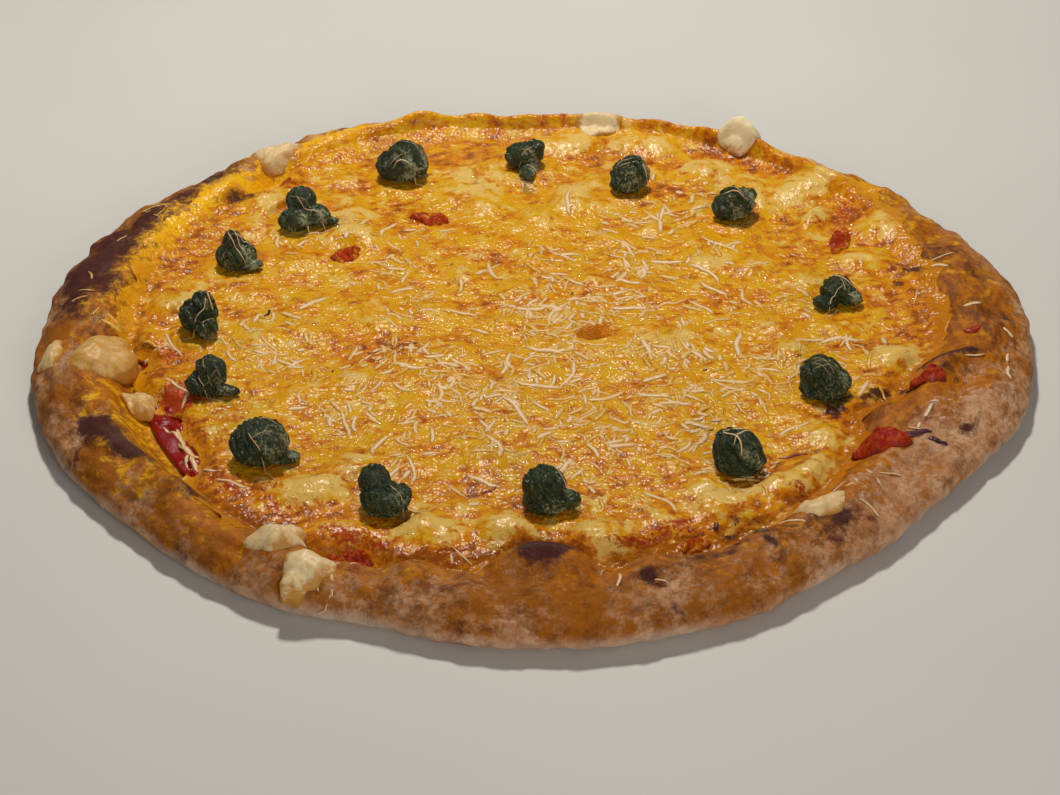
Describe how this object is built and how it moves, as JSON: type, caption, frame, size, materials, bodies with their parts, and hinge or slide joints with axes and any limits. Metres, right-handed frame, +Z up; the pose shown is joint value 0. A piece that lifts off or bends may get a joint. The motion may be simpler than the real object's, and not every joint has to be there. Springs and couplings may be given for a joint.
{
  "type": "provolone pizza",
  "caption": "Large round pizza, whole and uncut: blistered dough rim, red sauce, lumpy melted provolone with grated shreds, a ring of dark green herb paste dollops and a few tomato pieces",
  "frame": {"origin": "on the surface that the pizza rests on, under the middle of its outline's box", "axes": "+X across the pizza at its widest, +Y from the front edge to the back edge, +Z up out of the cheese"},
  "size_m": [0.3544, 0.3308, 0.0261],
  "materials": {
    "crust": "baked dough, dull, blistered and speckled brown, orange with oil on its inner side",
    "sauce": "tomato sauce, wet and glossy",
    "cheese": "melted provolone, oily gloss, golden yellow with orange toasted patches",
    "pale_cheese": "soft provolone that has not browned, pale cream, satin",
    "herb_paste": "chopped dark green herbs in oil, wet and rough",
    "tomato": "cooked tomato, red, wet"
  },
  "bodies": {
    "root": {"crust": "crust", "sauce": "sauce", "cheese": "cheese", "dollop_1": "herb_paste", "dollop_2": "herb_paste", "dollop_3": "herb_paste", "dollop_4": "herb_paste", "dollop_5": "herb_paste", "dollop_6": "herb_paste", "dollop_7": "herb_paste", "dollop_8": "herb_paste", "dollop_9": "herb_paste", "dollop_10": "herb_paste", "dollop_11": "herb_paste", "dollop_12": "herb_paste", "dollop_13": "herb_paste", "dollop_14": "herb_paste", "provolone_lump_1": "pale_cheese", "provolone_lump_2": "pale_cheese", "provolone_lump_3": "pale_cheese", "provolone_lump_4": "pale_cheese", "provolone_lump_5": "pale_cheese", "provolone_lump_6": "pale_cheese", "provolone_lump_7": "pale_cheese", "provolone_lump_8": "pale_cheese", "provolone_lump_9": "pale_cheese", "tomato_1": "tomato", "tomato_2": "tomato", "tomato_3": "tomato", "tomato_4": "tomato", "tomato_5": "tomato", "tomato_6": "tomato", "tomato_7": "tomato", "tomato_8": "tomato", "tomato_9": "tomato"}
  },
  "joints": []
}
